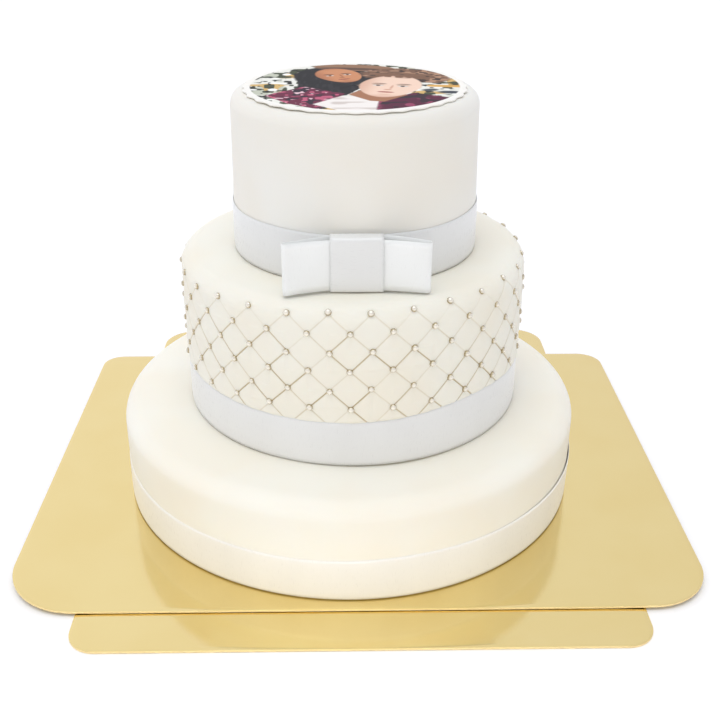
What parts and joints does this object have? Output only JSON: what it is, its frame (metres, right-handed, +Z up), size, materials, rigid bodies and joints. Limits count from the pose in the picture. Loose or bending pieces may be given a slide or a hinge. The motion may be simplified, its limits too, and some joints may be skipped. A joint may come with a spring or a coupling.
{
  "type": "wedding cake",
  "caption": "Tiered round wedding cake in ivory fondant with satin ribbons, a flat bow, a pearled quilted tier and a printed sugar plaque, on crossed gold cards.",
  "frame": {"origin": "bottom centre of the whole part's bounding box, on the surface the lower card lies on", "axes": "+Z up, the bow faces -Y, +X to the right when looking at the bow"},
  "size_m": [0.417, 0.41, 0.267],
  "materials": {
    "gold_card": "satin mirror-gold film laminated on both cards",
    "fondant": "smooth ivory sugar paste, soft sheen",
    "quilted_fondant": "ivory sugar paste pressed into puffed diamonds, with cream pearl sugar balls at the crossings",
    "satin_ribbon": "cool white single-face satin",
    "sugar_plaque": "white sugar paper disc with a printed double portrait and a bare wavy border"
  },
  "bodies": {
    "root": {"card_lower": "gold_card", "card_upper": "gold_card", "tier_bottom": "fondant", "tier_middle": "quilted_fondant", "tier_top": "fondant", "ribbon_bottom": "satin_ribbon", "ribbon_middle": "satin_ribbon", "ribbon_top": "satin_ribbon", "bow_loop_left": "satin_ribbon", "bow_loop_right": "satin_ribbon", "bow_band": "satin_ribbon", "photo_plaque": "sugar_plaque"}
  },
  "joints": []
}
